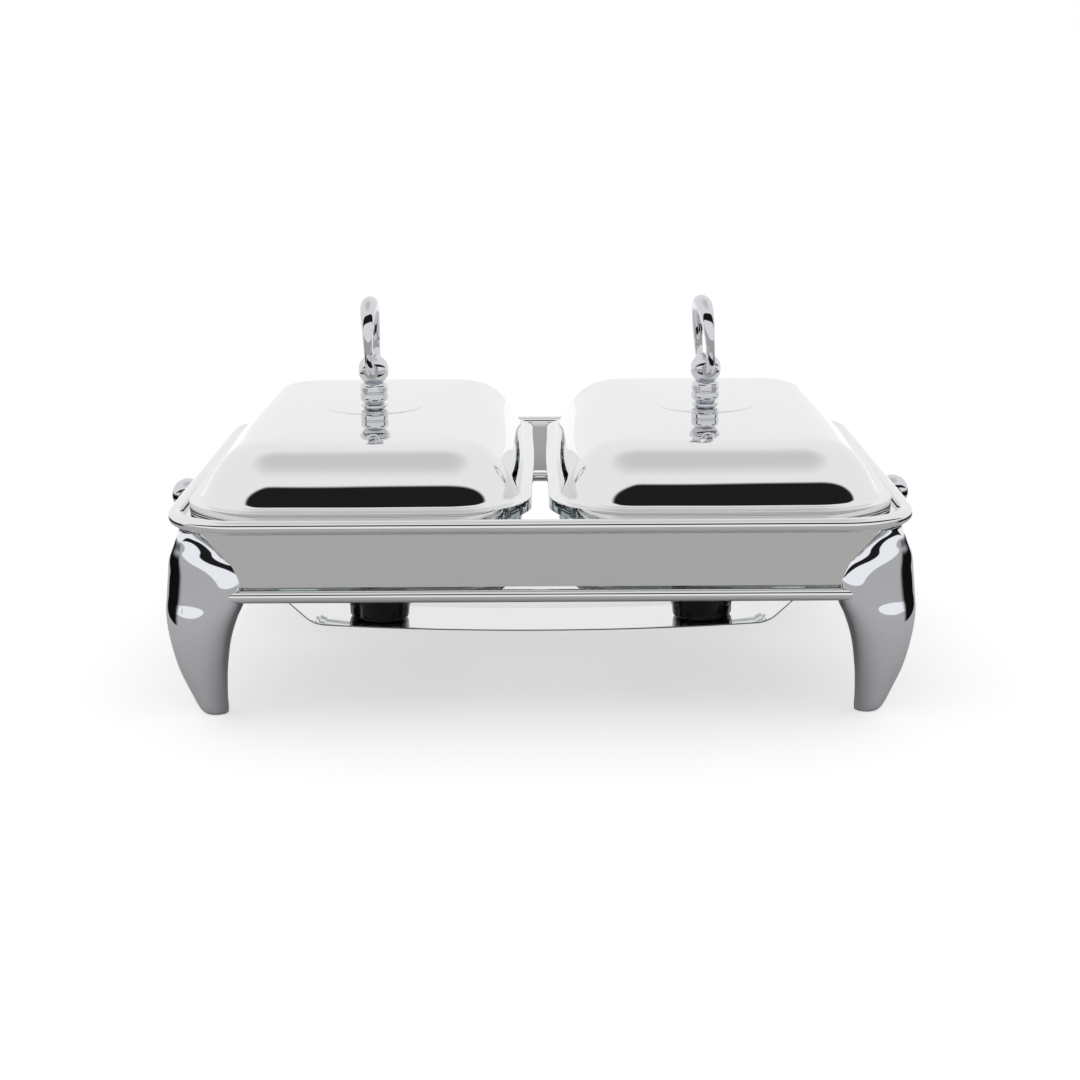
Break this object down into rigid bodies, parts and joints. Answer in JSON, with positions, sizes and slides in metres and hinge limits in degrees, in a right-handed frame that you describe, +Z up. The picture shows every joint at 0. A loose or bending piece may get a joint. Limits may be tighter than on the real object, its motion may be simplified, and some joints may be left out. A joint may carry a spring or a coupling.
{
  "type": "chafing dish food warmer",
  "caption": "Mirror-finished tabletop food warmer: a legged frame carries covered rectangular glass dishes over a hanging tray of tea-light cups.",
  "frame": {"origin": "centre of the footprint, on the table", "axes": "+X to the right along the front, +Y to the back, +Z up"},
  "size_m": [0.4718, 0.3306, 0.2252],
  "materials": {
    "mirror_steel": "mirror-polished stainless steel",
    "plated_zinc": "bright chrome-plated casting",
    "clear_glass": "clear pressed glass, slightly blue",
    "dark_metal": "gloss black with a bright rim",
    "white_silicone": "matt silicone"
  },
  "bodies": {
    "frame": {"frame_band": "mirror_steel", "rod_front": "mirror_steel", "rod_back": "mirror_steel", "rod_left": "mirror_steel", "rod_right": "mirror_steel", "leg_front_left": "plated_zinc", "leg_front_right": "plated_zinc", "leg_back_left": "plated_zinc", "leg_back_right": "plated_zinc", "leg_screws": "mirror_steel", "side_knob_left": "plated_zinc", "side_knob_right": "plated_zinc", "side_knob_screws": "mirror_steel"},
    "dish_left": {"dish_left": "clear_glass"},
    "dish_right": {"dish_right": "clear_glass"},
    "lid_left": {"lid_left": "mirror_steel", "lid_knob_left": "plated_zinc", "lid_ring_left": "plated_zinc", "lid_screw_left": "mirror_steel", "lid_washer_left": "white_silicone"},
    "lid_right": {"lid_right": "mirror_steel", "lid_knob_right": "plated_zinc", "lid_ring_right": "plated_zinc", "lid_screw_right": "mirror_steel", "lid_washer_right": "white_silicone"},
    "side_ring_left": {"side_ring_left": "plated_zinc"},
    "side_ring_right": {"side_ring_right": "plated_zinc"},
    "burner_tray": {"burner_tray": "mirror_steel"},
    "burner_cup_left": {"burner_cup_left": "dark_metal"},
    "burner_cup_right": {"burner_cup_right": "dark_metal"}
  },
  "joints": [
    {"name": "dish_left_lift", "type": "slide", "parent": "frame", "child": "dish_left", "axis": [0, 0, 1], "range_m": [0, 0.12]},
    {"name": "dish_right_lift", "type": "slide", "parent": "frame", "child": "dish_right", "axis": [0, 0, 1], "range_m": [0, 0.12]},
    {"name": "lid_left_lift", "type": "slide", "parent": "dish_left", "child": "lid_left", "axis": [0, 0, 1], "range_m": [0, 0.12]},
    {"name": "lid_right_lift", "type": "slide", "parent": "dish_right", "child": "lid_right", "axis": [0, 0, 1], "range_m": [0, 0.12]},
    {"name": "side_ring_left_swing", "type": "hinge", "parent": "frame", "child": "side_ring_left", "pos_m": [-0.2255, 0, 0.099], "axis": [0, 1, 0], "range_deg": [-10, 190]},
    {"name": "side_ring_right_swing", "type": "hinge", "parent": "frame", "child": "side_ring_right", "pos_m": [0.2255, 0, 0.099], "axis": [0, -1, 0], "range_deg": [-10, 190]},
    {"name": "burner_tray_slide", "type": "slide", "parent": "frame", "child": "burner_tray", "axis": [0, 1, 0], "range_m": [-0.08, 0.08]},
    {"name": "burner_cup_left_slide", "type": "slide", "parent": "burner_tray", "child": "burner_cup_left", "axis": [0, -1, 0], "range_m": [0, 0.2]},
    {"name": "burner_cup_right_slide", "type": "slide", "parent": "burner_tray", "child": "burner_cup_right", "axis": [0, -1, 0], "range_m": [0, 0.2]}
  ]
}
